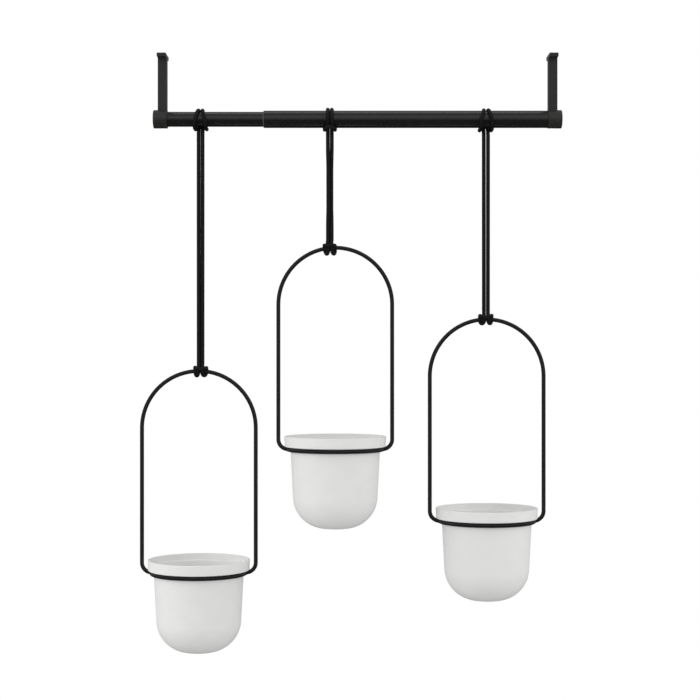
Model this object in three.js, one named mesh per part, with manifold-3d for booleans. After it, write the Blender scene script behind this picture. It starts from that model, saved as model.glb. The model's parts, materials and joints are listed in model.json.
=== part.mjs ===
// Hanging planter for a ceiling: two T-footed brackets hold a telescopic rod, and the rod carries three pots.
// Each pot sits in a ring of round wire under a wire arch, and each arch hangs on a closed loop of cord.
// Millimetres. +Z is up, +X runs along the rod, and the origin is the middle of the right foot's top face.
import * as THREE from "three";
import Module from "manifold-3d";
import { mergeVertices } from "three/addons/utils/BufferGeometryUtils.js";

const wasm = await Module();
wasm.setup();

// Clearances: between fixed pieces that touch, between sliding pieces, and between passes of one cord
const seatGap = 0.3;
const runningGap = 0.2;
const cordGap = 0.45;

// Telescopic rod
const rodDrop = 82;
const innerTubeDiameter = 19;
const innerTubeWall = 0.7;
const outerTubeWall = 0.6;
const bushWall = 0.4;
const bushLength = 14;
const bushLip = 1.3;
const tubeOverlap = 230;
const glideFlange = 6;
const glideSpigot = 14;

// End caps, and the screw that comes up through each cap into its bracket
const capWall = 0.65;
const capLength = 18.4;
const capEdge = 2;
const capSpigot = 20;
const spigotChamfer = 0.8;
const capShoulder = 0.7;
const screwDiameter = 3;
const screwHeadDiameter = 5.6;
const screwHeadHeight = 2;
const screwHeadSink = 0.8;
const screwDrive = 2.5;
const screwDriveDepth = 1.2;
const screwGrip = 8;
const screwRunOut = 1;

// Brackets: the foot is as wide as the stem, and its two holes keep margins to its sides, ends and stem
const stemDepth = 10;
const stemCorner = 1.2;
const tenonSide = 6.4;
const tenonDepth = 5;
const footThickness = 4.8;
const footCorner = 2;
const footBevel = 0.7;
const fixingHole = 4.5;
const fixingSink = 8.4;
const sinkToSide = 1.3;
const sinkToEnd = 1.8;
const sinkToStem = 2.8;

// Wire hanger: an arch and a ring
const wireDiameter = 5;
const legBend = 12.5;
const archHeight = 259.3;

// Pot
const potDiameter = 114.2;
const potHeight = 117.3;
const potDraft = 3;
const potWall = 2.7;
const potFlat = 26;
const rimOverhang = 7.9;
const rimWall = 2.5;
const rimSkirt = 2.5;
const rimDraft = 0.7;
const rimEdge = 0.8;
const ledgeDepth = 8;
const potClearance = 0.5;

// Cord: its thickness, how much thinner it is where a hitch squeezes it, and its play on the rod and the wire
const cordDiameter = 4.8;
const knotSqueeze = 0.3;
const rodPlay = 0.35;
const wirePlay = 0.6;

// A hitch's strands leave the bar below its front, and its bight crosses them. In degrees up from the front:
// where the strands touch the bar, where the turns begin and stop spreading, and where they start to climb.
const strandContact = -40;
const bendPull = 5;
const climbFrom = 262;
const bightLength = 24;
const upperHitch = { tail: 5.7, tailBend: 6, bight: -33, spreadFrom: 90, spreadTo: 235 };
const lowerHitch = { tail: 5, tailBend: 4, bight: -20, spreadFrom: -40, spreadTo: 200 };

// Where the hangers are along the rod: from the end cords to the brackets, and the free space between arches
const leftInset = 48.3;
const rightInset = 84.8;
const leftGap = 23.6;
const rightGap = 42.8;
const mouthPastMiddleCord = 84;

// Each hanger's drop from the rod's axis to the arch's top, the space between its two strands, how far the
// pair turns in between, and how far the arch hangs off its own middle
const hangers = {
  left: { drop: 318.2, strandGap: 0.5, turn: 0, archShift: -2.2, bightAtBack: true, onInnerTube: true },
  middle: { drop: 161.1, strandGap: 0.5, turn: 30, archShift: 6.9, bightAtBack: false, onInnerTube: false },
  right: { drop: 252.4, strandGap: 1, turn: 0, archShift: 1, bightAtBack: true, onInnerTube: false },
};
const turnShare = 0.3;

// Fineness: sides of round sections, steps of arcs, degrees from step to step in a hitch, and steps of cord
const roundSides = 36;
const holeSides = 16;
const wireSides = 8;
const cordSides = 8;
const knotSides = 6;
const cornerSteps = 3;
const legBendSteps = 4;
const archSteps = 18;
const bowlSteps = 5;
const edgeSteps = 1;
const tailSteps = 6;
const turnStep = 15;
const bightStep = 18;
const cordStep = 14;
const hexagon = 6;

// How far a cutting shape runs past the face that it opens
const cutPast = 1;

// Sizes that follow from the ones above
const innerTubeRadius = innerTubeDiameter / 2;
const innerTubeBore = innerTubeRadius - innerTubeWall;
const bushBore = innerTubeRadius + runningGap;
const bushRadius = bushBore + bushWall;
const outerTubeBore = bushRadius + seatGap;
const outerTubeRadius = outerTubeBore + outerTubeWall;
const capRadius = outerTubeRadius + capWall;
const stemWidth = fixingSink + 2 * sinkToSide;
const fixingSpacing = stemDepth + 2 * sinkToStem + fixingSink;
const footLength = fixingSpacing + fixingSink + 2 * sinkToEnd;
const wireRadius = wireDiameter / 2;
const ringRadius = potDiameter / 2 + potClearance + wireRadius;
const archRadius = ringRadius + legBend;
const archWidth = 2 * archRadius + wireDiameter;
const archCrown = archHeight - wireRadius - archRadius;
const rimRadius = potDiameter / 2 + rimOverhang;
const rimHeight = ledgeDepth + potWall + rimSkirt;
const knotDiameter = cordDiameter - knotSqueeze;

// Places along the rod
const { left, middle, right } = hangers;
const rightCordX = -rightInset;
const middleCordX = rightCordX + right.archShift - archWidth - rightGap - middle.archShift;
const leftCordX = middleCordX + middle.archShift - archWidth - leftGap - left.archShift;
const leftBracketX = leftCordX - leftInset;
const cordX = { left: leftCordX, middle: middleCordX, right: rightCordX };
const capInset = capShoulder + stemWidth / 2;
const mouthX = middleCordX - mouthPastMiddleCord;
const innerTubeStart = leftBracketX + capInset + seatGap;
const innerTubeEnd = mouthX + tubeOverlap;

const darkMetal = { color: 0x2e2e30, roughness: 0.35, metalness: 0.8 };
const capFinish = { color: 0x363634, roughness: 0.5, metalness: 0.5 };
const wireFinish = { color: 0x222222, roughness: 0.5, metalness: 0.5 };
const cordFinish = { color: 0x111111, roughness: 0.8, metalness: 0 };
const potFinish = { color: 0xe6e6e4, roughness: 0.6, metalness: 0 };
const nylonFinish = { color: 0xb8b8b4, roughness: 0.5, metalness: 0 };

function mesh(name, geometry, finish) {
  const piece = new THREE.Mesh(geometry, new THREE.MeshStandardMaterial(finish));
  piece.name = name;
  return piece;
}

// Closed geometry to a solid that can be cut and joined, and back
function solid(geometry) {
  const bare = geometry.clone();
  bare.deleteAttribute("normal");
  bare.deleteAttribute("uv");
  const merged = mergeVertices(bare);
  const vertProperties = merged.getAttribute("position").array;
  const triVerts = Uint32Array.from(merged.getIndex().array);
  return new wasm.Manifold(new wasm.Mesh({ numProp: 3, vertProperties, triVerts }));
}

function shell(body) {
  const found = body.getMesh();
  const geometry = new THREE.BufferGeometry();
  geometry.setAttribute("position", new THREE.BufferAttribute(found.vertProperties, 3));
  geometry.setIndex(new THREE.BufferAttribute(found.triVerts, 1));
  geometry.computeVertexNormals();
  return geometry;
}

// Turned pieces: outlines are [radius, place along the axis], anticlockwise with the axis at the left
function turned(outline, sides = roundSides) {
  return new THREE.LatheGeometry(outline.map(([radius, along]) => new THREE.Vector2(radius, along)), sides);
}

function turnedAlongX(outline, sides = roundSides) {
  return turned(outline, sides).rotateZ(-Math.PI / 2);
}

function turnedAlongZ(outline, sides = roundSides) {
  return turned(outline, sides).rotateX(Math.PI / 2);
}

function tubeOutline(radius, bore, start, end) {
  return [[radius, start], [radius, end], [bore, end], [bore, start], [radius, start]];
}

function rodOutline(radius, start, end) {
  return [[0, start], [radius, start], [radius, end], [0, end]];
}

// Points of a quarter circle or part of one, from one angle to another in degrees
function arcPoints(centreAcross, centreAlong, radius, from, to, steps) {
  return Array.from({ length: steps + 1 }, (_, i) => {
    const angle = THREE.MathUtils.degToRad(from + (to - from) * i / steps);
    return [centreAcross + radius * Math.cos(angle), centreAlong + radius * Math.sin(angle)];
  });
}

function roundedRectangle(width, depth, corner) {
  const x = width / 2 - corner;
  const y = depth / 2 - corner;
  const shape = new THREE.Shape();
  shape.absarc(x, -y, corner, -Math.PI / 2, 0);
  shape.absarc(x, y, corner, 0, Math.PI / 2);
  shape.absarc(-x, y, corner, Math.PI / 2, Math.PI);
  shape.absarc(-x, -y, corner, Math.PI, 1.5 * Math.PI);
  return shape;
}

// A route through given points, with one step of the tube from each point to the next
class Route extends THREE.Curve {
  constructor(points) {
    super();
    this.points = points;
  }

  getPoint(t, target = new THREE.Vector3()) {
    const last = this.points.length - 1;
    const at = THREE.MathUtils.clamp(t, 0, 1) * last;
    const i = Math.min(Math.floor(at), last - 1);
    return target.lerpVectors(this.points[i], this.points[i + 1], at - i);
  }

  getUtoTmapping(u) {
    return u;
  }
}

function roundBar(points, diameter, sides) {
  const section = Array.from({ length: sides }, (_, i) => {
    const angle = (2 * Math.PI * i) / sides;
    return new THREE.Vector2(Math.cos(angle), Math.sin(angle)).multiplyScalar(diameter / 2);
  });
  return new THREE.ExtrudeGeometry(new THREE.Shape(section), {
    steps: points.length - 1,
    bevelEnabled: false,
    extrudePath: new Route(points),
  });
}

// Bracket: a flat foot with two countersunk holes, a square-edged stem, and a tenon that enters the cap.
// Its own origin is the middle of the foot's top face.
function bracket() {
  const foot = new THREE.ExtrudeGeometry(
    roundedRectangle(stemWidth - 2 * footBevel, footLength - 2 * footBevel, footCorner - footBevel),
    {
      depth: footThickness - 2 * footBevel,
      bevelThickness: footBevel,
      bevelSize: footBevel,
      bevelSegments: 1,
      curveSegments: cornerSteps,
    },
  ).translate(0, 0, footBevel - footThickness);
  const stem = new THREE.ExtrudeGeometry(roundedRectangle(stemWidth, stemDepth, stemCorner), {
    depth: rodDrop - footThickness / 2,
    bevelEnabled: false,
    curveSegments: cornerSteps,
  }).translate(0, 0, -rodDrop);
  const saddleOutline = rodOutline(capRadius + seatGap, -stemWidth, stemWidth);
  const saddle = turnedAlongX(saddleOutline).translate(0, 0, -rodDrop);
  const tenonBottom = capRadius - tenonDepth - rodDrop;
  const tenonHeight = tenonDepth + stemDepth / 2;
  const tenon = new THREE.BoxGeometry(tenonSide, tenonSide, tenonHeight);
  tenon.translate(0, 0, tenonBottom + tenonHeight / 2);
  const threadTop = tenonBottom + screwGrip + screwRunOut;
  const threadRadius = screwDiameter / 2 + seatGap;
  const thread = turnedAlongZ(rodOutline(threadRadius, tenonBottom - cutPast, threadTop), holeSides);
  let body = solid(foot).add(solid(stem)).subtract(solid(saddle)).add(solid(tenon)).subtract(solid(thread));
  const holeRadius = fixingHole / 2;
  const sinkRadius = fixingSink / 2;
  for (const side of [-1, 1]) {
    const hole = turnedAlongZ([
      [0, -footThickness - cutPast],
      [sinkRadius + cutPast, -footThickness - cutPast],
      [holeRadius, sinkRadius - holeRadius - footThickness],
      [holeRadius, cutPast],
      [0, cutPast],
    ], holeSides).translate(0, side * fixingSpacing / 2, 0);
    body = body.subtract(solid(hole));
  }
  return shell(body);
}

// End cap: a turned plug whose spigot enters the tube. Its own origin is on the rod's axis under the stem,
// and the tube is on its -X side.
function endCap(bore) {
  const shoulder = -capInset;
  const end = shoulder + capLength;
  const spigot = bore - seatGap;
  const plug = turnedAlongX([
    [0, shoulder - capSpigot],
    [spigot - spigotChamfer, shoulder - capSpigot],
    [spigot, shoulder - capSpigot + spigotChamfer],
    [spigot, shoulder],
    [capRadius, shoulder],
    ...arcPoints(capRadius - capEdge, end - capEdge, capEdge, 0, 90, cornerSteps),
    [0, end],
  ]);
  const tenonHoleSide = tenonSide + 2 * seatGap;
  const tenonHoleDepth = tenonDepth + seatGap;
  const tenonHole = new THREE.BoxGeometry(tenonHoleSide, tenonHoleSide, 2 * tenonHoleDepth);
  tenonHole.translate(0, 0, capRadius);
  const headTop = screwHeadSink + screwHeadHeight - capRadius + seatGap;
  const screwHole = turnedAlongZ([
    [0, -capRadius - cutPast],
    [screwHeadDiameter / 2 + seatGap, -capRadius - cutPast],
    [screwHeadDiameter / 2 + seatGap, headTop],
    [screwDiameter / 2 + seatGap, headTop],
    [screwDiameter / 2 + seatGap, capRadius - tenonDepth],
    [0, capRadius - tenonDepth],
  ], holeSides);
  return shell(solid(plug).subtract(solid(tenonHole)).subtract(solid(screwHole)));
}

// Cap screw, with a hexagon socket. Its own origin is on the rod's axis.
function capScrew() {
  const underside = screwHeadSink - capRadius;
  const tip = capRadius - tenonDepth + screwGrip;
  const tipChamfer = screwDiameter / 4;
  const body = turnedAlongZ([
    [0, underside],
    [screwHeadDiameter / 2, underside],
    [screwHeadDiameter / 2, underside + screwHeadHeight],
    [screwDiameter / 2, underside + screwHeadHeight],
    [screwDiameter / 2, tip - tipChamfer],
    [screwDiameter / 2 - tipChamfer, tip],
    [0, tip],
  ], holeSides);
  const socketRadius = screwDrive / Math.sqrt(3);
  const socketOutline = rodOutline(socketRadius, underside - cutPast, underside + screwDriveDepth);
  return shell(solid(body).subtract(solid(turnedAlongZ(socketOutline, hexagon))));
}

function outerTube() {
  const end = -capInset - seatGap;
  return turnedAlongX(tubeOutline(outerTubeRadius, outerTubeBore, mouthX, end));
}

function mouthBush() {
  return turnedAlongX([
    [bushBore, mouthX - bushLip],
    [bushRadius - runningGap, mouthX - bushLip],
    [bushRadius, mouthX],
    [bushRadius, mouthX + bushLength],
    [bushBore, mouthX + bushLength],
    [bushBore, mouthX - bushLip],
  ]);
}

function innerTube() {
  return turnedAlongX(tubeOutline(innerTubeRadius, innerTubeBore, innerTubeStart, innerTubeEnd));
}

// Glide: a plug in the inner tube's hidden end, whose flange runs in the outer tube
function glide() {
  const spigot = innerTubeBore - seatGap;
  const face = innerTubeEnd + seatGap;
  return turnedAlongX([
    [0, innerTubeEnd - glideSpigot],
    [spigot - spigotChamfer, innerTubeEnd - glideSpigot],
    [spigot, innerTubeEnd - glideSpigot + spigotChamfer],
    [spigot, face],
    [outerTubeBore - seatGap, face],
    [outerTubeBore - seatGap, face + glideFlange],
    [0, face + glideFlange],
  ]);
}

// Arch: round wire up one leg, over a half circle and down the other, with both feet bent in to the ring
// and coped to it. The origin of the arch, ring and pot is the middle of the ring.
function arch() {
  const points = [
    ...arcPoints(ringRadius, legBend, legBend, -90, 0, legBendSteps),
    ...arcPoints(0, archCrown, archRadius, 0, 180, archSteps),
    ...arcPoints(-ringRadius, legBend, legBend, 180, 270, legBendSteps),
  ].map(([x, z]) => new THREE.Vector3(x, 0, z));
  const cope = new THREE.TorusGeometry(ringRadius, wireRadius + seatGap, 2 * wireSides, 2 * roundSides);
  return shell(solid(roundBar(points, wireDiameter, wireSides)).subtract(solid(cope)));
}

function ring() {
  return new THREE.TorusGeometry(ringRadius, wireRadius, wireSides, roundSides);
}

// The pot's rim rests on the bends of the arch's feet, just above the ring
const rimFoot = rimRadius - rimDraft;
const seatReach = legBend - wireRadius - rimEdge - seatGap;
const seatAcross = rimFoot - rimEdge - ringRadius;
const bendSeat = legBend - Math.sqrt(Math.max(0, seatReach ** 2 - seatAcross ** 2)) - rimEdge;
const potSeat = Math.max(bendSeat, wireRadius + seatGap);

// Pot: a turned shell with a stepped rim and a bowl-shaped bottom with a small flat
function pot() {
  const top = potSeat + rimHeight;
  const base = top - potHeight;
  const slope = Math.tan(THREE.MathUtils.degToRad(potDraft));
  const outside = (z) => potDiameter / 2 + slope * z;
  const bowl = (outside(base) - potFlat / 2) / (1 - slope);
  const bowlTop = base + bowl;
  const ledge = top - ledgeDepth;
  const web = ledge - potWall;
  return turnedAlongZ([
    [0, base],
    ...arcPoints(potFlat / 2, bowlTop, bowl, -90, 0, bowlSteps),
    [outside(web), web],
    [rimFoot - rimWall, web],
    [rimFoot - rimWall, potSeat],
    ...arcPoints(rimFoot - rimEdge, potSeat + rimEdge, rimEdge, -90, 0, edgeSteps),
    ...arcPoints(rimRadius - rimEdge, top - rimEdge, rimEdge, 0, 90, edgeSteps),
    [rimRadius - rimWall, top],
    [rimRadius - rimWall - rimDraft / 2, ledge],
    [outside(ledge) - potWall, ledge],
    ...arcPoints(potFlat / 2, bowlTop, bowl - potWall, 0, -90, bowlSteps),
    [0, base + potWall],
  ]);
}

// Girth hitch around a bar along X: both strands climb the front of the bar, go once around it while they
// spread, and join in a bight that crosses over them. The origin is on the bar's axis, and the strands hang.
function onBar(x, radius, degrees) {
  const angle = THREE.MathUtils.degToRad(degrees);
  return new THREE.Vector3(x, -radius * Math.cos(angle), radius * Math.sin(angle));
}

function hitchReach(barRadius, play) {
  return barRadius + play + 2 * knotDiameter + cordGap;
}

function hitch({ barRadius, play, strandGap, tail, tailBend, bight, spreadFrom, spreadTo }) {
  const { smoothstep, lerp, degToRad } = THREE.MathUtils;
  const under = barRadius + play + knotDiameter / 2;
  const over = under + knotDiameter + cordGap;
  const near = (cordDiameter + strandGap) / 2;
  const wide = near + knotDiameter + cordGap;
  const tailEnd = new THREE.Vector3(near, 0, -hitchReach(barRadius, play) - tail);
  const bendStart = new THREE.Vector3(near, 0, tailEnd.z + cordDiameter);
  const contact = onBar(near, under, strandContact);
  const leave = onBar(0, Math.min(bendPull, under / 2), strandContact - 90);
  const bendControl = new THREE.Vector3(near, 0, bendStart.z + tailBend);
  const bend = new THREE.CubicBezierCurve3(bendStart, bendControl, contact.clone().add(leave), contact);
  const half = [tailEnd, ...bend.getPoints(tailSteps)];
  const bightEnd = 360 + bight;
  const bightStart = bightEnd - bightLength;
  const turns = Math.round((bightStart - strandContact) / turnStep);
  for (let i = 1; i <= turns; i += 1) {
    const angle = lerp(strandContact, bightStart, i / turns);
    const x = lerp(near, wide, smoothstep(angle, spreadFrom, spreadTo));
    half.push(onBar(x, lerp(under, over, smoothstep(angle, climbFrom, bightStart)), angle));
  }
  for (let turn = bightStep; turn <= 90; turn += bightStep) {
    const angle = lerp(bightStart, bightEnd, Math.sin(degToRad(turn)));
    half.push(onBar(wide * Math.cos(degToRad(turn)), over, angle));
  }
  const other = half.slice(0, -1).reverse().map((p) => new THREE.Vector3(-p.x, p.y, p.z));
  return [...half, ...other];
}

// Least distance between the surfaces of a tube's own turns, measured on points along its route
const probesPerStep = 4;
const ownTurnPast = 2.5;

function leastGap(points, diameter) {
  const dense = [];
  for (let i = 0; i + 1 < points.length; i += 1) {
    for (let probe = 0; probe < probesPerStep; probe += 1) {
      dense.push(points[i].clone().lerp(points[i + 1], probe / probesPerStep));
    }
  }
  const along = [0];
  for (let i = 1; i < dense.length; i += 1) {
    along.push(along[i - 1] + dense[i].distanceTo(dense[i - 1]));
  }
  let least = Infinity;
  for (let i = 0; i < dense.length; i += 1) {
    for (let j = i + 1; j < dense.length; j += 1) {
      if (along[j] - along[i] > ownTurnPast * diameter) {
        least = Math.min(least, dense[i].distanceTo(dense[j]));
      }
    }
  }
  return least - diameter;
}

function routeLength(points) {
  return points.slice(1).reduce((sum, point, i) => sum + point.distanceTo(points[i]), 0);
}

// The lower hitch follows the curve of the arch's top, while its two tails stay upright.
// Its origin is the wire's centre where the cord hangs, at a given offset from the middle of the arch.
function bentToCrown(point, offset) {
  const hang = Math.asin(offset / archRadius);
  const angle = hang + point.x / archRadius;
  const radius = archRadius + point.z;
  const crown = archRadius * Math.cos(hang);
  const across = radius * Math.sin(angle) - offset;
  const bent = new THREE.Vector3(across, point.y, radius * Math.cos(angle) - crown);
  const wrapped = wireRadius + wirePlay + knotDiameter / 2;
  const upright = THREE.MathUtils.smoothstep(point.z, wrapped, wrapped + cordDiameter + cordGap);
  return bent.lerp(point, upright);
}

function strandRoute(side, { strandGap, turn }, top, bottom) {
  const { smoothstep, degToRad, lerp } = THREE.MathUtils;
  const steps = Math.round((top - bottom) / cordStep);
  const reach = side * (cordDiameter + strandGap) / 2;
  return Array.from({ length: steps + 1 }, (_, i) => {
    const t = i / steps;
    const turnedBy = smoothstep(t, 0, turnShare) * (1 - smoothstep(t, 1 - turnShare, 1));
    const angle = degToRad(turn * turnedBy);
    return new THREE.Vector3(reach * Math.cos(angle), reach * Math.sin(angle), lerp(top, bottom, t));
  });
}

// One hanger: the cord's two hitches and two strands, the wire arch and ring, and the pot.
// Its origin is on the rod's axis where the cord hangs.
function hanger(name, place) {
  const { drop, strandGap, archShift, bightAtBack, onInnerTube } = place;
  const rodRadius = onInnerTube ? innerTubeRadius : outerTubeRadius;
  const front = bightAtBack ? -1 : 1;
  const upper = hitch({ ...upperHitch, barRadius: rodRadius, play: rodPlay, strandGap })
    .map((point) => new THREE.Vector3(point.x, front * point.y, point.z));
  const lower = hitch({ ...lowerHitch, barRadius: wireRadius, play: wirePlay, strandGap })
    .map((point) => bentToCrown(new THREE.Vector3(point.x, point.y, -point.z), -archShift));
  const crownFall = archRadius * (1 - Math.cos(Math.asin(archShift / archRadius)));
  const wireZ = -drop - wireRadius - crownFall;
  const strandTop = -hitchReach(rodRadius, rodPlay) - upperHitch.tail - cordGap;
  const strandBottom = wireZ + hitchReach(wireRadius, wirePlay) + lowerHitch.tail + seatGap;
  const [routeA, routeB] = [-1, 1].map((side) => strandRoute(side, place, strandTop, strandBottom));

  const group = new THREE.Group();
  group.add(mesh(`${name}_upper_hitch`, roundBar(upper, knotDiameter, knotSides), cordFinish));
  group.add(mesh(`${name}_strand_a`, roundBar(routeA, cordDiameter, cordSides), cordFinish));
  group.add(mesh(`${name}_strand_b`, roundBar(routeB, cordDiameter, cordSides), cordFinish));
  const hitchOnWire = mesh(`${name}_lower_hitch`, roundBar(lower, knotDiameter, knotSides), cordFinish);
  hitchOnWire.position.z = wireZ;
  group.add(hitchOnWire);
  const frame = new THREE.Group();
  frame.position.set(archShift, 0, -drop - archHeight);
  frame.add(mesh(`${name}_frame_arch`, arch(), wireFinish));
  frame.add(mesh(`${name}_frame_ring`, ring(), wireFinish));
  frame.add(mesh(`${name}_pot`, pot(), potFinish));
  group.add(frame);

  const loop = [upper, lower, routeA, routeB].reduce((sum, route) => sum + routeLength(route), 0);
  console.log(
    `${name}: least gap in the upper hitch ${leastGap(upper, knotDiameter).toFixed(2)},`,
    `in the lower hitch ${leastGap(lower, knotDiameter).toFixed(2)},`,
    `cord loop ${loop.toFixed(0)} long, wire at ${(wireZ - rodDrop).toFixed(2)}`,
  );
  return group;
}

const planter = new THREE.Group();

const rod = new THREE.Group();
rod.position.z = -rodDrop;
rod.add(mesh("outer_tube", outerTube(), darkMetal));
rod.add(mesh("mouth_bush", mouthBush(), nylonFinish));
rod.add(mesh("inner_tube", innerTube(), darkMetal));
rod.add(mesh("glide_plug", glide(), nylonFinish));
for (const [name, place] of Object.entries(hangers)) {
  const hung = hanger(name, place);
  hung.position.x = cordX[name];
  rod.add(hung);
}
planter.add(rod);

const ends = [
  { name: "right", x: 0, bore: outerTubeBore, turn: 0 },
  { name: "left", x: leftBracketX, bore: innerTubeBore, turn: Math.PI },
];
for (const { name, x, bore, turn } of ends) {
  const end = new THREE.Group();
  end.position.x = x;
  end.rotation.z = turn;
  end.add(mesh(`${name}_bracket`, bracket(), darkMetal));
  const cap = mesh(`${name}_end_cap`, endCap(bore), capFinish);
  const screw = mesh(`${name}_cap_screw`, capScrew(), darkMetal);
  cap.position.z = -rodDrop;
  screw.position.z = -rodDrop;
  end.add(cap);
  end.add(screw);
  planter.add(end);
}

export default planter;
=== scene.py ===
# Hanging planter: a telescopic rod on two ceiling brackets, and three pots that hang from it in wire frames
# on loops of black cord. Metres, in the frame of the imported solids: +Z is up and +X runs along the rod.
import json
import math

import bmesh
import bpy
from mathutils import Vector
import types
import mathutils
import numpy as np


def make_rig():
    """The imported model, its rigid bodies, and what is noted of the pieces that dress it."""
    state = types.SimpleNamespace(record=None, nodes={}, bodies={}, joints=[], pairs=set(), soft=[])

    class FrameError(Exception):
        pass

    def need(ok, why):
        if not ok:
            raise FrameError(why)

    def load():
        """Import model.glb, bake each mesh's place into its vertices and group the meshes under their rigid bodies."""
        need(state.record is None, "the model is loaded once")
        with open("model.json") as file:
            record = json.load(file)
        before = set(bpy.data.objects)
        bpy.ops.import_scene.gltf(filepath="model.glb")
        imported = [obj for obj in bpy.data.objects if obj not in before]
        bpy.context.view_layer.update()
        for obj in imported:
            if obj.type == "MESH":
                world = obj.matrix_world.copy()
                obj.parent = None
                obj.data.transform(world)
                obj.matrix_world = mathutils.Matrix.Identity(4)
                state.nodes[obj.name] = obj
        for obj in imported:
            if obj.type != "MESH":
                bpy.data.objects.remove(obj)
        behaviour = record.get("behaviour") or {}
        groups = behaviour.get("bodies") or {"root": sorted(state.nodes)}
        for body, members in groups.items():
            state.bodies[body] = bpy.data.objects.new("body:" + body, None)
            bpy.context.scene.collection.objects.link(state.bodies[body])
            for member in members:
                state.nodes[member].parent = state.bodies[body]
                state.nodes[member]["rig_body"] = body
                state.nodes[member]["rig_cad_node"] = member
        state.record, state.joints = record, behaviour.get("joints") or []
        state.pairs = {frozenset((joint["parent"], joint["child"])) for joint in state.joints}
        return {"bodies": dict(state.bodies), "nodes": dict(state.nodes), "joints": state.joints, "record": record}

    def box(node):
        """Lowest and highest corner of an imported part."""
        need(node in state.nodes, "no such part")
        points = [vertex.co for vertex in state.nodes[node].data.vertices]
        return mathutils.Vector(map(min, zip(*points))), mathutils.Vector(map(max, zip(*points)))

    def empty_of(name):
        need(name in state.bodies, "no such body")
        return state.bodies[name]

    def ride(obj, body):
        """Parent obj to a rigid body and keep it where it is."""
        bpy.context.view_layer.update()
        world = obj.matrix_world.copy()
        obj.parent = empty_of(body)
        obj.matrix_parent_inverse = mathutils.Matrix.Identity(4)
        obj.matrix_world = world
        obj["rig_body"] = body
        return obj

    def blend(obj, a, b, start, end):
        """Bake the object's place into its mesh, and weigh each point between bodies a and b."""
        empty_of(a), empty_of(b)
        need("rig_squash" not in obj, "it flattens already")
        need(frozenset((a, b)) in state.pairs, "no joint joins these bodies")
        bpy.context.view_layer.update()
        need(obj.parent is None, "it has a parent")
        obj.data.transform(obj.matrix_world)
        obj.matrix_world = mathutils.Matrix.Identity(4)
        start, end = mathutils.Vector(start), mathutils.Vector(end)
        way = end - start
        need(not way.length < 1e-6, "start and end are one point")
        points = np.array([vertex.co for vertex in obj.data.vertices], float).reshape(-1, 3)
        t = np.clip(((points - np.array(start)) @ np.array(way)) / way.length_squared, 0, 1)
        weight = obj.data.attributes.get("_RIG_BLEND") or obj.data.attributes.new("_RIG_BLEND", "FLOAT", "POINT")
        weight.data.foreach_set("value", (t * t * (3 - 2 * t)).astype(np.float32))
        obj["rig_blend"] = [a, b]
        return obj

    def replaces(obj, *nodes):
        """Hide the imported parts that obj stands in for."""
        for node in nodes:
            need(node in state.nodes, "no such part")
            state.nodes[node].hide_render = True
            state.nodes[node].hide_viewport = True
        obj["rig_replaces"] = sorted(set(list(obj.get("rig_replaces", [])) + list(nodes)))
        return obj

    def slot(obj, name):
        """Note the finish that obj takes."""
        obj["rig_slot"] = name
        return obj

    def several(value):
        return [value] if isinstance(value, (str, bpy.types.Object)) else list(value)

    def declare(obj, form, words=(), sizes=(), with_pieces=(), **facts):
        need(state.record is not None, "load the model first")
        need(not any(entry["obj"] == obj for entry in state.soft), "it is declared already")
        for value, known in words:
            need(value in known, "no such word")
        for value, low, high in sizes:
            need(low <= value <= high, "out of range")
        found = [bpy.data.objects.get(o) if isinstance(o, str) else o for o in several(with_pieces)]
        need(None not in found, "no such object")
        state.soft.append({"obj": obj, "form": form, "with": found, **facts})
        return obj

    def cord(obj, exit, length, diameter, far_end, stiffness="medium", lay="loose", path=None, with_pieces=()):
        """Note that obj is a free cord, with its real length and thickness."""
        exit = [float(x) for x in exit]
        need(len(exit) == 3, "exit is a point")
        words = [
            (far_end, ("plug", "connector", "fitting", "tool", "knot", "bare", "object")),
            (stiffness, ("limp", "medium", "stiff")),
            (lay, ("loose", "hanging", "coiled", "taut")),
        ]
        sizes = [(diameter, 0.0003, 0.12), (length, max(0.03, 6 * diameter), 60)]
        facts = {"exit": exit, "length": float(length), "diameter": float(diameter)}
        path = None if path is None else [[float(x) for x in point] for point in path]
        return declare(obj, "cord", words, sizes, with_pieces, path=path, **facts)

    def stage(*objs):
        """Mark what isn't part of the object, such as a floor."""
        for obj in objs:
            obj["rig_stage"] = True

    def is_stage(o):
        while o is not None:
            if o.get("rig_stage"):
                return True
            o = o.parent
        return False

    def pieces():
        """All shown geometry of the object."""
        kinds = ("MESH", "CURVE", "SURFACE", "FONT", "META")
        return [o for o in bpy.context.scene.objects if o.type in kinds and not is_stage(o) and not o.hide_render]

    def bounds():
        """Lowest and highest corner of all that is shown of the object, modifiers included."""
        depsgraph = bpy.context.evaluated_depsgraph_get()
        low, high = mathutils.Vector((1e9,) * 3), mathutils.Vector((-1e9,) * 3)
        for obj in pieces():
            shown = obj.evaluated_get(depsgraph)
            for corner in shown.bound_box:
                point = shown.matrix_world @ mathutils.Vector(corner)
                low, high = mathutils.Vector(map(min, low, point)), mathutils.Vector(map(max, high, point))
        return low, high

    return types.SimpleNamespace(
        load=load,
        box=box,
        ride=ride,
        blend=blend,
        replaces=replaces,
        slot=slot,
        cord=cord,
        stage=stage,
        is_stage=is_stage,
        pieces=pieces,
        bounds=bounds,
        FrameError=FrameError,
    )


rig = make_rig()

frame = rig.load()
cad_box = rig.bounds()
scene = bpy.context.scene


# Camera. It stands level with the planter's middle and looks straight along +Y, at the photograph's
# distance: one pixel of the picture is PHOTO_PIXEL wide in the plane of the rod.
MM = 0.001
PICTURE_SIDE = 700
PHOTO_PIXEL = 1.2745 * MM
FOCAL_PIXELS = 1612  # from the camera to the rod, in pixels of that width
PICTURE_MIDDLE = Vector((-258, 0, -376)) * MM

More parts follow.
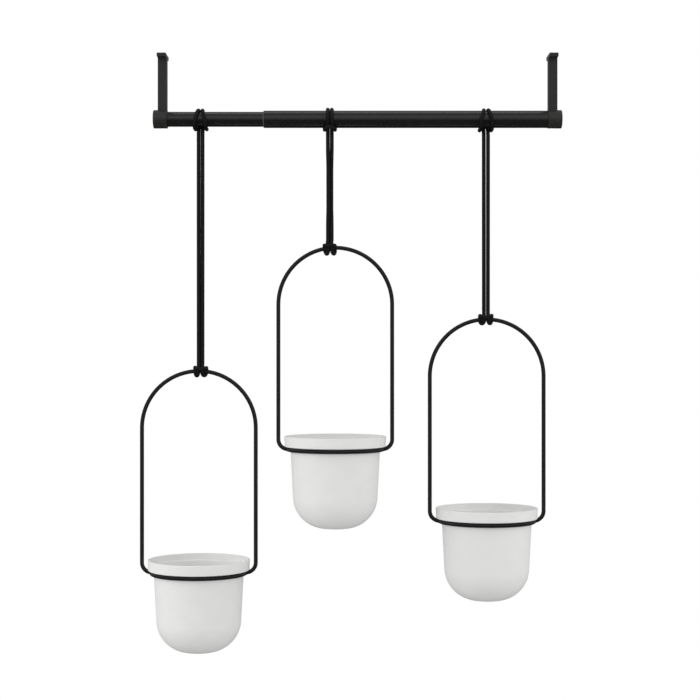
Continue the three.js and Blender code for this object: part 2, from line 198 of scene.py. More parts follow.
camera_lens = bpy.data.cameras.new("camera")
camera_lens.lens = camera_lens.sensor_width * FOCAL_PIXELS / PICTURE_SIDE
camera = bpy.data.objects.new("camera", camera_lens)
camera.location = PICTURE_MIDDLE - Vector((0, FOCAL_PIXELS * PHOTO_PIXEL, 0))
camera.rotation_euler = (math.pi / 2, 0, 0)
scene.collection.objects.link(camera)
scene.camera = camera


# Cords. Each hanger hangs on one closed loop of round braided polyester, 4.9 mm thick, tied by a girth
# hitch to the rod and by another to the wire, so two strands run side by side between the hitches. The top
# hitch rolls around the rod as the hanger swings. The strands twist with the hanger.
CORD = 4.9 * MM
SQUEEZED = 4.6 * MM  # the cord where a hitch squeezes it
BAR_PLAY = 0.05 * MM  # between a cord and the bar that it is tied to
STRAND_CONTACT = -40  # degrees up from the front of the bar, as all angles of a hitch
BEND_PULL = 5 * MM  # how gently a strand bends onto the bar
TAIL_STEPS = 24
HITCH_STEP = 3  # degrees
STRAND_STEP = 2 * MM
TURN_SHARE = 0.3  # how much of the strands' length they take to turn, at each end
ARCH_BEND = 72.5 * MM  # radius of the wire arch, at the middle of the wire
POWDER_COAT = 0.1 * MM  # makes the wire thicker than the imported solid's, within the same outer size
TOP_HITCH = {"tail": 15.5 * MM, "tail_bend": 6 * MM, "spread": (90, 235), "climb": (284, 322)}
WIRE_HITCH = {"tail": 15 * MM, "tail_bend": 4 * MM, "spread": (20, 150), "climb": (310, 343),
              "bight": (307, 345)}
# gaps: between the strands, at the rod and at the wire. loops: how far each hitch reaches to both sides.
# turn: degrees that the strands turn around each other. arch_shift: from the cord to the arch's middle.
# flat: how much the rod flattens the cord on top. ears: how far each loop lies lower on the wire.
# sag: how far each loop droops below the wire. bight: where it crosses over the strands at the rod.
HANGERS = {
    "left": {
        "gaps": (0.17 * MM, 0), "loops": 7.15 * MM, "turn": 0, "arch_shift": -2.2 * MM,
        "flat": 0.6 * MM, "ears": (0, 0), "sag": (1.1 * MM, 0.6 * MM),
        "bight": (310, 335), "bight_at_back": True},
    "middle": {
        "gaps": (0.22 * MM, -0.05 * MM), "loops": 6.6 * MM, "turn": 36, "arch_shift": 6.9 * MM,
        "flat": 1.1 * MM, "ears": (0.4 * MM, 1.8 * MM), "sag": (2.4 * MM, 3.2 * MM),
        "bight": (296, 322), "bight_at_back": False},
    "right": {
        "gaps": (0.55 * MM, 0.3 * MM), "loops": 7.4 * MM, "turn": 0, "arch_shift": 1 * MM,
        "flat": 1.9 * MM, "ears": (-0.5 * MM, -0.5 * MM), "sag": (0.3 * MM, 0.3 * MM),
        "bight": (310, 335), "bight_at_back": True},
}
YARNS = 8  # yarns that wind each way around the cord
YARN_SIDES = 4  # sides of the cord's mesh for each yarn
BRAID_SIDES = YARN_SIDES * YARNS
BRAID_PITCH = 22 * MM
BRAID_DEPTH = 0.1 * MM
BRAID_MIDDLE = 0.25  # the relief where the cord has its nominal radius
YARN_DIP = 0.4  # how much lower a yarn is where it goes under another
FIBRES_ACROSS = 9  # for each yarn
FIBRES_ALONG = 1.4  # for each crossing
FIBRE_RELIEF = 0.35
FIBRE_DEPTH = 0.06 * MM
SOFTENING_PASSES = 3
SOFTENING_REACH = 2


def mix(start, end, share):
    return start + (end - start) * share


def ease(value, start, end):
    share = min(1, max(0, (value - start) / (end - start)))
    return share * share * (3 - 2 * share)


def on_bar(x, radius, degrees):
    angle = math.radians(degrees)
    return Vector((x, -radius * math.cos(angle), radius * math.sin(angle)))


def bend_points(start, pull_start, pull_end, end, steps):
    """A cubic curve from start to end"""
    for i in range(steps + 1):
        t = i / steps
        yield ((1 - t) ** 3 * start + 3 * (1 - t) ** 2 * t * pull_start
               + 3 * (1 - t) * t ** 2 * pull_end + t ** 3 * end)


def hitch_route(bar_radius, strand_gap, loops, tail, tail_bend, spread, bight, climb, flat=0):
    """Both strands climb the front of the bar, go once around it while they spread into two loops, and
    join in a bight that crosses over them. The origin is on the bar's axis, and the strands hang."""
    under = bar_radius + BAR_PLAY + SQUEEZED / 2
    over = under + SQUEEZED
    near = (CORD + strand_gap) / 2
    tail_end = Vector((near, 0, -bar_radius - tail))
    bend_start = tail_end + Vector((0, 0, CORD))
    contact = on_bar(near, under, STRAND_CONTACT)
    leave = on_bar(0, min(BEND_PULL, under / 2), STRAND_CONTACT - 90)
    pull = bend_start + Vector((0, 0, tail_bend))
    half = [tail_end]
    half += bend_points(bend_start, pull, contact + leave, contact, TAIL_STEPS)
    steps = round((bight[0] - STRAND_CONTACT) / HITCH_STEP)
    for i in range(1, steps + 1):
        angle = mix(STRAND_CONTACT, bight[0], i / steps)
        x = mix(near, loops, ease(angle, *spread))
        sunk = flat * max(0, math.sin(math.radians(angle))) ** 2
        half.append(on_bar(x, mix(under, over, ease(angle, *climb)) - sunk, angle))
    for turn in range(HITCH_STEP, 91, HITCH_STEP):
        angle = mix(*bight, math.sin(math.radians(turn)))
        x = loops * math.cos(math.radians(turn))
        half.append(on_bar(x, mix(under, over, ease(angle, *climb)), angle))
    return half + [Vector((-p.x, p.y, p.z)) for p in reversed(half[:-1])]


def bent_to_crown(point, offset, wire_radius):
    """The lower hitch follows the curve of the arch's top, while its two tails stay upright. Its origin is
    the wire's middle where the cord hangs."""
    hang = math.asin(offset / ARCH_BEND)
    angle = hang + point.x / ARCH_BEND
    below, above = min(point.z, 0), max(point.z, 0)
    bent = Vector(((ARCH_BEND + below) * math.sin(angle) + above * math.sin(hang) - offset, point.y,
                   (ARCH_BEND + point.z) * math.cos(angle) - ARCH_BEND * math.cos(hang)))
    wrapped = wire_radius + BAR_PLAY + SQUEEZED / 2
    return bent.lerp(point, ease(point.z, wrapped, wrapped + CORD))


def strand_route(side, gaps, turn, top, bottom):
    """One strand between the hitches, beside the cord's middle or turned around it"""
    steps = round((top - bottom) / STRAND_STEP)
    for i in range(steps + 1):
        t = i / steps
        reach = side * (CORD + mix(*gaps, t)) / 2
        angle = math.radians(turn * ease(t, 0, TURN_SHARE) * (1 - ease(t, 1 - TURN_SHARE, 1)))
        yield Vector((reach * math.cos(angle), reach * math.sin(angle), mix(top, bottom, t)))


def evenly_spaced(points, step):
    """The same route with points a step apart, or a little less, and its length"""
    along = [0]
    for before, after in zip(points, points[1:]):
        along.append(along[-1] + (after - before).length)
    count = math.ceil(along[-1] / step)
    spaced, i = [], 0
    for k in range(count + 1):
        at = along[-1] * k / count
        while i < len(points) - 2 and along[i + 1] < at:
            i += 1
        spaced.append(points[i].lerp(points[i + 1], (at - along[i]) / (along[i + 1] - along[i])))
    return spaced, along[-1]


def softened(points):
    """The same route without kinks: a cord bends over a length of about its own thickness"""
    last = len(points) - 1
    for _ in range(SOFTENING_PASSES):
        reaches = [min(SOFTENING_REACH, i, last - i) for i in range(last + 1)]
        points = [sum(points[i - reach:i + reach + 1], Vector()) / (2 * reach + 1)
                  for i, reach in enumerate(reaches)]
    return points


def new_piece(name, points, faces):
    """A piece of the planter from the points and faces of its surface"""
    mesh = bpy.data.meshes.new(name)
    mesh.from_pydata(points, [], faces)
    mesh.polygons.foreach_set("use_smooth", [True] * len(faces))
    piece = bpy.data.objects.new(name, mesh)
    scene.collection.objects.link(piece)
    return piece


def sections_along(points, closed=False):
    """Middle, side and up of the section at each point of a route, turned as little as possible"""
    last = len(points) - 1
    side = None
    for i, point in enumerate(points):
        before = points[i - 1] if i or closed else point
        after = points[(i + 1) % len(points)] if i < last or closed else point
        ahead = (after - before).normalized()
        if side is None:
            side = ahead.orthogonal()
        side = (side - ahead * side.dot(ahead)).normalized()
        yield point, side, ahead.cross(side)


def swept(name, points, sides, radius_at, closed=False):
    """A round bar along a route. radius_at gives its radius for a point's number and a side's number."""
    rings = []
    for i, (middle, side, up) in enumerate(sections_along(points, closed)):
        for k in range(sides):
            angle = 2 * math.pi * k / sides
            rings.append(middle + (side * math.cos(angle) + up * math.sin(angle)) * radius_at(i, k))
    count = len(points)
    faces = []
    for i in range(count if closed else count - 1):
        start, end = i * sides, (i + 1) % count * sides
        faces += [(start + k, start + (k + 1) % sides, end + (k + 1) % sides, end + k)
                  for k in range(sides)]
    if not closed:
        faces.append(tuple(reversed(range(sides))))
        faces.append(tuple((count - 1) * sides + k for k in range(sides)))
    return new_piece(name, rings, faces)


def braid_relief(i, k):
    """How high the yarns stand at ring i and side k of a cord, from 0 to 1"""
    along_one = (k + i) / YARN_SIDES
    along_other = (k - i) / YARN_SIDES
    first = math.sin(math.pi * (along_one % 1))
    second = math.sin(math.pi * (along_other % 1))
    if (math.floor(along_one) + math.floor(along_other)) % 2:
        first, second = second, first
    return first * (1 - YARN_DIP + YARN_DIP * second)


def braided_cord(name, route):
    """A cord along a route, with its braid as relief and a map that runs around and along it"""
    ring_step = BRAID_PITCH / BRAID_SIDES
    points, length = evenly_spaced(softened(evenly_spaced(route, ring_step)[0]), ring_step)
    piece = swept(name, points, BRAID_SIDES,
                  lambda i, k: CORD / 2 + BRAID_DEPTH * (braid_relief(i, k) - BRAID_MIDDLE))
    around_and_along = piece.data.uv_layers.new(name="braid")
    spots = []
    for i in range(len(points) - 1):
        for k in range(BRAID_SIDES):
            spots += [k, i, k + 1, i, k + 1, i + 1, k, i + 1]
    spots += [0] * (4 * BRAID_SIDES)
    around_and_along.uv.foreach_set("vector", [spot / BRAID_SIDES for spot in spots])
    return piece, points, length


def press_on_rod(piece, rod_z, rod_radius):
    """Flattens a cord where it is pulled tight against the rod"""
    for vertex in piece.data.vertices:
        out = Vector((0, vertex.co.y, vertex.co.z - rod_z))
        if out.length < rod_radius + BAR_PLAY:
            vertex.co += out.normalized() * (rod_radius + BAR_PLAY) - out


def node_in(tree, kind, inputs=None, **settings):
    """A shader node. Each input is a number, a colour or another node's output."""
    made = tree.nodes.new("ShaderNode" + kind)
    for name, value in settings.items():
        setattr(made, name, value)
    for name, value in (inputs or {}).items():
        if isinstance(value, bpy.types.NodeSocket):
            tree.links.new(value, made.inputs[name])
        else:
            made.inputs[name].default_value = value
    return made


def maths(tree, operation, *values):
    return node_in(tree, "Math", dict(enumerate(values)), operation=operation).outputs[0]


def effect(name, inputs, outputs):
    """An effect that several finishes can use: a node group with named inputs and outputs"""
    tree = bpy.data.node_groups.new(name, "ShaderNodeTree")
    for label, kind, value in inputs:
        socket = tree.interface.new_socket(label, in_out="INPUT", socket_type="NodeSocket" + kind)
        if value is not None:
            socket.default_value = value
    for label in outputs:
        tree.interface.new_socket(label, in_out="OUTPUT", socket_type="NodeSocketFloat")
    return tree, tree.nodes.new("NodeGroupInput").outputs, tree.nodes.new("NodeGroupOutput").inputs


def use_effect(tree, name, inputs):
    made = tree.nodes.new("ShaderNodeGroup")
    made.node_tree = bpy.data.node_groups[name]
    for label, value in inputs.items():
        if isinstance(value, bpy.types.NodeSocket):
            tree.links.new(value, made.inputs[label])
        else:
            made.inputs[label].default_value = value
    return made.outputs


def new_finish(name, tint, gloss):
    """A material. tint is its colour in the viewport, and gloss holds what is the same all over it."""
    finish = bpy.data.materials.new(name)
    finish.use_nodes = True
    finish.diffuse_color = (*tint, 1)
    shader = finish.node_tree.nodes["Principled BSDF"]
    for label, value in gloss.items():
        shader.inputs[label].default_value = value
    return finish, finish.node_tree, shader


def blend_colours(tree, share, low, high):
    return node_in(tree, "Mix", {"Factor": share, "A": (*low, 1), "B": (*high, 1)},
                   data_type="RGBA").outputs["Result"]


def raise_surface(tree, shader, height, depth):
    bump = node_in(tree, "Bump", {"Height": height, "Distance": depth})
    tree.links.new(bump.outputs["Normal"], shader.inputs["Normal"])


def braid_effect():
    """Yarns of a braid, over one and under one, with the fibres that run along each of them"""
    tree, given, made = effect("braid", [("Map", "Vector", None), ("Yarns", "Float", YARNS)],
                               ["Height", "Fibres"])
    split = node_in(tree, "SeparateXYZ", {"Vector": given["Map"]}).outputs
    lines = []
    for operation in ("ADD", "SUBTRACT"):
        at = maths(tree, "MULTIPLY", maths(tree, operation, split["X"], split["Y"]), given["Yarns"])
        share = maths(tree, "FRACT", at)
        lines.append((maths(tree, "FLOOR", at), share,
                      maths(tree, "SINE", maths(tree, "MULTIPLY", share, math.pi))))
    (cell_one, share_one, ridge_one), (cell_other, share_other, ridge_other) = lines
    turn = maths(tree, "FLOORED_MODULO", maths(tree, "ADD", cell_one, cell_other), 2)
    ridges = []
    for first, second in ((ridge_one, ridge_other), (ridge_other, ridge_one)):
        crest = maths(tree, "MULTIPLY_ADD", second, YARN_DIP, 1 - YARN_DIP)
        ridges.append(maths(tree, "MULTIPLY", first, crest))
    height = node_in(tree, "Mix", {"Factor": turn, "A": ridges[0], "B": ridges[1]}).outputs["Result"]
    across = node_in(tree, "Mix", {"Factor": turn, "A": share_one, "B": share_other}).outputs["Result"]
    along = node_in(tree, "Mix", {"Factor": turn, "A": share_other, "B": share_one}).outputs["Result"]
    yarn = node_in(tree, "Mix", {"Factor": turn, "A": cell_one, "B": cell_other}).outputs["Result"]
    place = node_in(tree, "CombineXYZ", {"X": maths(tree, "MULTIPLY", across, FIBRES_ACROSS),
                                         "Y": maths(tree, "MULTIPLY", along, FIBRES_ALONG), "Z": yarn})
    fibres = node_in(tree, "TexNoise", {"Vector": place.outputs[0], "Scale": 1, "Detail": 1})
    tree.links.new(height, made["Height"])
    tree.links.new(fibres.outputs["Fac"], made["Fibres"])


braid_effect()
cord_finish, tree, shader = new_finish(
    "black braided cord", (0.01, 0.01, 0.01), {"Specular IOR Level": 0.22})
cord_map = node_in(tree, "UVMap", uv_map="braid").outputs["UV"]
braid = use_effect(tree, "braid", {"Map": cord_map, "Yarns": YARNS})
# The yarns' crests are painted lighter than the grooves between them, which is painted darkening in the grooves. This
# sits on top of the fibres' own random tone.
fibre_tone_and_groove_darkening = maths(tree, "MULTIPLY_ADD", braid["Fibres"], 0.7, maths(tree, "MULTIPLY", braid["Height"], 0.3))
tree.links.new(blend_colours(tree, fibre_tone_and_groove_darkening, (0.0025, 0.0025, 0.0025), (0.0105, 0.0105, 0.0110)),
               shader.inputs["Base Color"])
tree.links.new(maths(tree, "MULTIPLY_ADD", braid["Fibres"], 0.3, 0.45), shader.inputs["Roughness"])
fibre_height = maths(tree, "MULTIPLY_ADD", braid["Fibres"], FIBRE_RELIEF, braid["Height"])
raise_surface(tree, shader, fibre_height, FIBRE_DEPTH)


def rod_of(name):
    """The radius of the tube that a hanger's cord is tied to"""
    low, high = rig.box("inner_tube" if name == "left" else "outer_tube")
    return (high.z - low.z) / 2


def joint_place(name):
    return next(Vector(joint["pos_m"]) for joint in frame["joints"] if joint["name"] == name)


def tied_to_rod(point, hanger, place):
    """A point of the upper hitch, where the rod's axis passes through a place"""
    turned_back = -1 if hanger["bight_at_back"] else 1
    return place + Vector((point.x, turned_back * point.y, point.z))


def tied_to_wire(point, hanger, place, wire_radius):
    """A point of the lower hitch, upside down on the wire, whose middle passes through a place"""
    left_sag, right_sag = hanger["sag"]
    sag = (right_sag if point.x > 0 else left_sag) * min(1, max(0, point.z / wire_radius / 2))
    left_ear, right_ear = hanger["ears"]
    ear = (right_ear if point.x > 0 else left_ear) * ease(-point.z, 0, wire_radius)
    ear *= ease(abs(point.x), CORD / 2, hanger["loops"])
    stood = Vector((point.x, point.y, -point.z - sag - ear))
    return place + bent_to_crown(stood, -hanger["arch_shift"], wire_radius)


for name, hanger in HANGERS.items():
    cord_x, _, rod_z = joint_place(f"{name}_hanger_swing")
    wire_z = joint_place(f"{name}_frame_rock").z - POWDER_COAT
    low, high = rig.box(f"{name}_frame_ring")
    wire_radius = (high.z - low.z) / 2 + POWDER_COAT
    gaps, loops = hanger["gaps"], hanger["loops"]
    top_place = Vector((cord_x, 0, rod_z))
    wire_place = Vector((cord_x, 0, wire_z))

    top = [tied_to_rod(point, hanger, top_place)
           for point in hitch_route(rod_of(name), gaps[0], loops, bight=hanger["bight"],
                                    flat=hanger["flat"], **TOP_HITCH)]
    bottom = [tied_to_wire(point, hanger, wire_place, wire_radius)
              for point in hitch_route(wire_radius, gaps[1], loops, **WIRE_HITCH)]
    strands = []
    for side in (-1, 1):
        route = strand_route(side, gaps, hanger["turn"], top[0].z, bottom[0].z)
        strands.append([Vector((cord_x, 0, 0)) + point for point in route])

    cord_top, points, length = braided_cord(f"{name}_cord_top", top)
    press_on_rod(cord_top, rod_z, rod_of(name))
    cord_top.data.materials.append(cord_finish)
    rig.ride(cord_top, f"{name}_cord")
    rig.replaces(cord_top, f"{name}_upper_hitch")
    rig.cord(cord_top, exit=points[0], length=length, diameter=CORD, far_end="object",
            stiffness="limp", lay="taut", path=points)
    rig.slot(cord_top, "cord")

    loop = strands[1] + bottom[1:-1] + strands[0][::-1]
    cord_loop, points, length = braided_cord(f"{name}_cord_loop", loop)
    cord_loop.data.materials.append(cord_finish)
    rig.blend(cord_loop, f"{name}_cord", f"{name}_turn", start=strands[0][0], end=strands[0][-1])
    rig.replaces(cord_loop, f"{name}_strand_a", f"{name}_strand_b", f"{name}_lower_hitch")
    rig.cord(cord_loop, exit=points[0], length=length, diameter=CORD, far_end="object",
            stiffness="limp", lay="taut", path=points)
    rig.slot(cord_loop, "cord")


# Rod tubes. Two thin steel tubes, one sliding in the other, in a smooth charcoal coating with a soft gloss.
# The end caps' spigots hold their outer ends.
OUTER_WALL = 0.6 * MM
INNER_WALL = 0.7 * MM
TUBE_EDGE = 0.2 * MM
TURNED_SIDES = 96
SAME_SPOT = 1e-7  # metres within which two points are one
CRISP_ANGLE = 32  # degrees between two faces from which their edge stays crisp
NOISE_LOW = 0.3  # nearly all of a noise lies between these two
NOISE_HIGH = 0.7
LINE_STRETCH = 0.012  # draws a noise out into lines


def rounded(outline, steps=5):
    """Points of an outline whose corners [across, along, corner radius] are rounded off"""
    points = []
    for i, (across, along, corner) in enumerate(outline):
        here = Vector((across, along))
        if not corner:
            points.append(here)
            continue
        back = (Vector(outline[i - 1][:2]) - here).normalized()
        on = (Vector(outline[(i + 1) % len(outline)][:2]) - here).normalized()
        half = back.angle(on) / 2
        middle = here + (back + on).normalized() * corner / math.sin(half)
        start = here + back * corner / math.tan(half) - middle
        end = here + on * corner / math.tan(half) - middle
        first = math.atan2(start.y, start.x)
        sweep = (math.atan2(end.y, end.x) - first + math.pi) % (2 * math.pi) - math.pi
        for k in range(steps + 1):
            angle = first + sweep * k / steps
            points.append(middle + corner * Vector((math.cos(angle), math.sin(angle))))
    return points


def turned(name, outline, place, axis, sides=TURNED_SIDES):
    """A turned piece: the outline's [across, along] points go around an axis through a place"""
    points, rings = [], []
    for across, along in outline:
        count = 1 if across < SAME_SPOT else sides
        rings.append(range(len(points), len(points) + count))
        for k in range(count):
            angle = 2 * math.pi * k / sides
            one, other = across * math.cos(angle), across * math.sin(angle)
            spot = {"X": (along, one, other), "-X": (-along, one, other), "Z": (one, other, along)}[axis]
            points.append(Vector(place) + Vector(spot))
    faces = []
    for i, ring in enumerate(rings):
        other = rings[(i + 1) % len(rings)]
        if len(ring) == len(other) == 1:
            continue
        for k in range(sides):
            corners = [ring[k % len(ring)], ring[(k + 1) % len(ring)],
                       other[(k + 1) % len(other)], other[k % len(other)]]
            faces.append(tuple(dict.fromkeys(corners)))
    return clean(new_piece(name, points, faces))


def clean(piece):
    """Turns every face outwards and keeps the edges of flat faces crisp"""
    skin = bmesh.new()
    skin.from_mesh(piece.data)
    bmesh.ops.remove_doubles(skin, verts=skin.verts, dist=SAME_SPOT)
    bmesh.ops.recalc_face_normals(skin, faces=skin.faces)
    skin.to_mesh(piece.data)
    skin.free()
    piece.data.polygons.foreach_set("use_smooth", [True] * len(piece.data.polygons))
    piece.data.set_sharp_from_angle(angle=math.radians(CRISP_ANGLE))
    if not piece.modifiers:
        piece.modifiers.new("even shading", "WEIGHTED_NORMAL").keep_sharp = True
    return piece


def tube_outline(radius, wall, start, end, edge=TUBE_EDGE):
    return rounded([(radius, start, edge), (radius, end, edge), (radius - wall, end, edge),
                    (radius - wall, start, edge)])


def stand_for(piece, finish, body, slot, *nodes):
    piece.data.materials.append(finish)
    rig.ride(piece, body)
    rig.replaces(piece, *nodes)
    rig.slot(piece, slot)


def mottling_effect():
    """Uneven patches between two values, as in a coating or a moulding"""
    tree, given, made = effect(
        "mottling", [("Patches per metre", "Float", 100), ("Low", "Float", 0), ("High", "Float", 1)],
        ["Value"])
    place = node_in(tree, "TexCoord").outputs["Object"]
    noise = node_in(tree, "TexNoise", {"Vector": place, "Scale": given["Patches per metre"], "Detail": 3})
    spread = node_in(tree, "MapRange", {
        "Value": noise.outputs["Fac"], "From Min": NOISE_LOW, "From Max": NOISE_HIGH,
        "To Min": given["Low"], "To Max": given["High"]})
    tree.links.new(spread.outputs["Result"], made["Value"])


def grain_effect():
    """The fine, rounded grain of a powder coating or of a spark-eroded mould"""
    tree, given, made = effect("grain", [("Grains per metre", "Float", 1500)], ["Height"])
    place = node_in(tree, "TexCoord").outputs["Object"]
    noise = node_in(tree, "TexNoise", {"Vector": place, "Scale": given["Grains per metre"], "Detail": 2})
    cells = node_in(tree, "TexVoronoi", {"Vector": place, "Scale": given["Grains per metre"]},
                    feature="SMOOTH_F1")
    height = maths(tree, "MULTIPLY_ADD", cells.outputs["Distance"], -0.6, noise.outputs["Fac"])
    tree.links.new(height, made["Height"])


def drawn_lines_effect():
    """Faint lines along X that drawing leaves in a tube"""
    tree, given, made = effect("drawn lines", [("Lines per metre", "Float", 900)], ["Height"])
    place = node_in(tree, "TexCoord").outputs["Object"]
    long_way = node_in(tree, "VectorMath", {0: place, 1: (LINE_STRETCH, 1, 1)},
                       operation="MULTIPLY")
    noise = node_in(tree, "TexNoise", {"Vector": long_way.outputs[0], "Scale": given["Lines per metre"],
                                       "Detail": 2})
    tree.links.new(noise.outputs["Fac"], made["Height"])


def mottled(tree, patches, low, high):
    return use_effect(tree, "mottling", {"Patches per metre": patches, "Low": low, "High": high})["Value"]


def mottle_finish(tree, shader, shades, patches, dullness, dull_patches):
    """Uneven colour between two shades, and uneven gloss. Patches are counted per metre."""
    low, high = shades
    tree.links.new(blend_colours(tree, mottled(tree, patches, 0, 1), low, high),
                   shader.inputs["Base Color"])
    tree.links.new(mottled(tree, dull_patches, *dullness), shader.inputs["Roughness"])


def grained(tree, grains):
    return use_effect(tree, "grain", {"Grains per metre": grains})["Height"]


mottling_effect()
grain_effect()
drawn_lines_effect()

rod_finish, tree, shader = new_finish(
    "charcoal rod coating", (0.03, 0.03, 0.032), {"Specular IOR Level": 0.6})
mottle_finish(tree, shader, ((0.0089, 0.0089, 0.0093), (0.0111, 0.0111, 0.0115)), 90, (0.19, 0.24), 260)
lines = use_effect(tree, "drawn lines", {"Lines per metre": 1400})["Height"]
raise_surface(tree, shader, maths(tree, "MULTIPLY_ADD", lines, 0.5, grained(tree, 900)), 0.012 * MM)

low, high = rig.box("outer_tube")
rod_z = (low.z + high.z) / 2
outer_radius = (high.z - low.z) / 2
outline = tube_outline(outer_radius, OUTER_WALL, low.x, high.x)
outer_rod = turned("outer_rod_tube", outline, (0, 0, rod_z), "X")
stand_for(outer_rod, rod_finish, "fixed_rod", "rod_metal", "outer_tube")

low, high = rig.box("inner_tube")
inner_radius = (high.z - low.z) / 2
outline = tube_outline(inner_radius, INNER_WALL, low.x, high.x)
inner_rod = turned("inner_rod_tube", outline, (0, 0, rod_z), "X")
stand_for(inner_rod, rod_finish, "inner_rod", "rod_metal", "inner_tube")


# Guides. A thin nylon bush is pressed into the outer tube's mouth, and its lip shows as a pale edge around
# the inner tube. A nylon plug in the inner tube's hidden end keeps the two tubes in line.
BUSH_GAP = 0.2 * MM
BUSH_WALL = 0.4 * MM
BUSH_EDGE = 0.1 * MM
LIP = 1.3 * MM
LIP_START = 0.45 * MM
PLUG_SPIGOT = 14 * MM
PLUG_EDGE = 0.5 * MM
SPIGOT_EDGE = 0.8 * MM
SEAT_GAP = 0.3 * MM

nylon_finish, tree, shader = new_finish("grey nylon", (0.12, 0.12, 0.11), {"Specular IOR Level": 0.45})
mottle_finish(tree, shader, ((0.105, 0.100, 0.088), (0.125, 0.120, 0.108)), 400, (0.42, 0.55), 700)
raise_surface(tree, shader, grained(tree, 1800), 0.01 * MM)

low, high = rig.box("mouth_bush")
bush_bore = inner_radius + BUSH_GAP
bush_radius = bush_bore + BUSH_WALL
bush = turned("rod_mouth_bush", rounded([
    (bush_bore, low.x + LIP_START, BUSH_EDGE),
    (bush_radius - BUSH_GAP / 2, low.x + LIP_START, BUSH_EDGE),
    (bush_radius, low.x + LIP, 0),
    (bush_radius, high.x, BUSH_EDGE),
    (bush_bore, high.x, BUSH_EDGE),
]), (0, 0, rod_z), "X")
stand_for(bush, nylon_finish, "fixed_rod", "nylon", "mouth_bush")

low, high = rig.box("glide_plug")
flange = (high.z - low.z) / 2
spigot = inner_radius - INNER_WALL - SEAT_GAP
plug = turned("inner_rod_glide", rounded([
    (0, low.x, 0),
    (spigot, low.x, SPIGOT_EDGE),
    (spigot, low.x + PLUG_SPIGOT + SEAT_GAP, 0),
    (flange, low.x + PLUG_SPIGOT + SEAT_GAP, PLUG_EDGE),
    (flange, high.x, PLUG_EDGE),
    (0, high.x, 0),
]), (0, 0, rod_z), "X")
stand_for(plug, nylon_finish, "inner_rod", "nylon", "glide_plug")


# End caps. Moulded in dark grey plastic with a fine satin grain and a slightly domed end. Each has a spigot
# in its tube, a square hole on top for the bracket's tenon, and a stepped hole for the screw below.
CAP_LENGTH = 18.4 * MM
CAP_SPIGOT = 20 * MM
CAP_INSET = 6.2 * MM  # from the bracket's middle to the cap's inner face
CAP_CROWN = 0.7 * MM
CAP_EDGE = 0.9 * MM
CAP_INNER_EDGE = 0.35 * MM
TENON_SIDE = 6.4 * MM
TENON_DEPTH = 5 * MM
SCREW = 3 * MM
SCREW_HEAD = 5.6 * MM
SCREW_HEAD_HEIGHT = 2 * MM
SCREW_SINK = 0.8 * MM
CROWN_STEPS = 8
HOLE_SIDES = 48
CUTTER_REACH = 1 * MM  # how far a cutter stands out of what it cuts


def block(name, low, high):
    """A plain block, for cutting with"""
    spots = [Vector((x, y, z)) for x in (low[0], high[0]) for y in (low[1], high[1])
             for z in (low[2], high[2])]
    return clean(new_piece(name, spots, [(0, 1, 3, 2), (4, 6, 7, 5), (0, 4, 5, 1), (2, 3, 7, 6),
                                         (0, 2, 6, 4), (1, 5, 7, 3)]))


def carve(piece, tool, operation="DIFFERENCE"):
    """Cuts the tool out of a piece, or joins it on, and puts the tool away"""
    for modifier in list(piece.modifiers) + list(tool.modifiers):
        modifier.id_data.modifiers.remove(modifier)
    step = piece.modifiers.new("carve", "BOOLEAN")
    step.operation = operation
    step.solver = "EXACT"
    step.object = tool
    graph = bpy.context.evaluated_depsgraph_get()
    shaped = bpy.data.meshes.new_from_object(piece.evaluated_get(graph))
    piece.modifiers.clear()
    piece.data = shaped
    bpy.data.objects.remove(tool)
    return clean(piece)


cap_finish, tree, shader = new_finish(
    "dark grey moulded plastic", (0.035, 0.034, 0.031), {"Specular IOR Level": 0.55})
mottle_finish(tree, shader, ((0.0160, 0.0157, 0.0143), (0.0210, 0.0207, 0.0189)), 420, (0.4, 0.5), 900)
raise_surface(tree, shader, grained(tree, 2200), 0.03 * MM)

ENDS = (
    {"side": "right", "axis": "X", "body": "fixed_rod", "bore": outer_radius - OUTER_WALL},
    {"side": "left", "axis": "-X", "body": "inner_rod", "bore": inner_radius - INNER_WALL},
)
cap_low, cap_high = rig.box("right_end_cap")
cap_radius = (cap_high.z - cap_low.z) / 2
for end in ENDS:
    side = end["side"]
    low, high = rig.box(f"{side}_bracket")
    end["x"] = (low.x + high.x) / 2
    inner, outer = -CAP_INSET, CAP_LENGTH - CAP_INSET
    spigot = end["bore"] - SEAT_GAP
    edge_along = outer - CAP_CROWN
    crown = [(cap_radius * (1 - i / CROWN_STEPS), outer - CAP_CROWN * (1 - i / CROWN_STEPS) ** 2, 0)
             for i in range(1, CROWN_STEPS + 1)]
    cap = turned(f"{side}_rod_cap", rounded([
        (0, inner - CAP_SPIGOT, 0),
        (spigot, inner - CAP_SPIGOT, SPIGOT_EDGE),
        (spigot, inner, 0),
        (cap_radius, inner, CAP_INNER_EDGE),
        (cap_radius, edge_along, CAP_EDGE),
        *crown,
    ]), (end["x"], 0, rod_z), end["axis"])
    hole = TENON_SIDE / 2 + SEAT_GAP
    top = rod_z + cap_radius
    carve(cap, block("tenon hole", (end["x"] - hole, -hole, top - TENON_DEPTH - SEAT_GAP),
                     (end["x"] + hole, hole, top + TENON_DEPTH)))
    head_top = SCREW_SINK + SCREW_HEAD_HEIGHT - cap_radius + SEAT_GAP
    screw_hole = turned("screw hole", [Vector(spot) for spot in (
        (0, -cap_radius - CUTTER_REACH),
        (SCREW_HEAD / 2 + SEAT_GAP, -cap_radius - CUTTER_REACH),
        (SCREW_HEAD / 2 + SEAT_GAP, head_top),
        (SCREW / 2 + SEAT_GAP, head_top),
        (SCREW / 2 + SEAT_GAP, cap_radius - TENON_DEPTH),
        (0, cap_radius - TENON_DEPTH),
    )], (end["x"], 0, rod_z), "Z", sides=HOLE_SIDES)
    carve(cap, screw_hole)
    stand_for(cap, cap_finish, end["body"], "cap", f"{side}_end_cap")


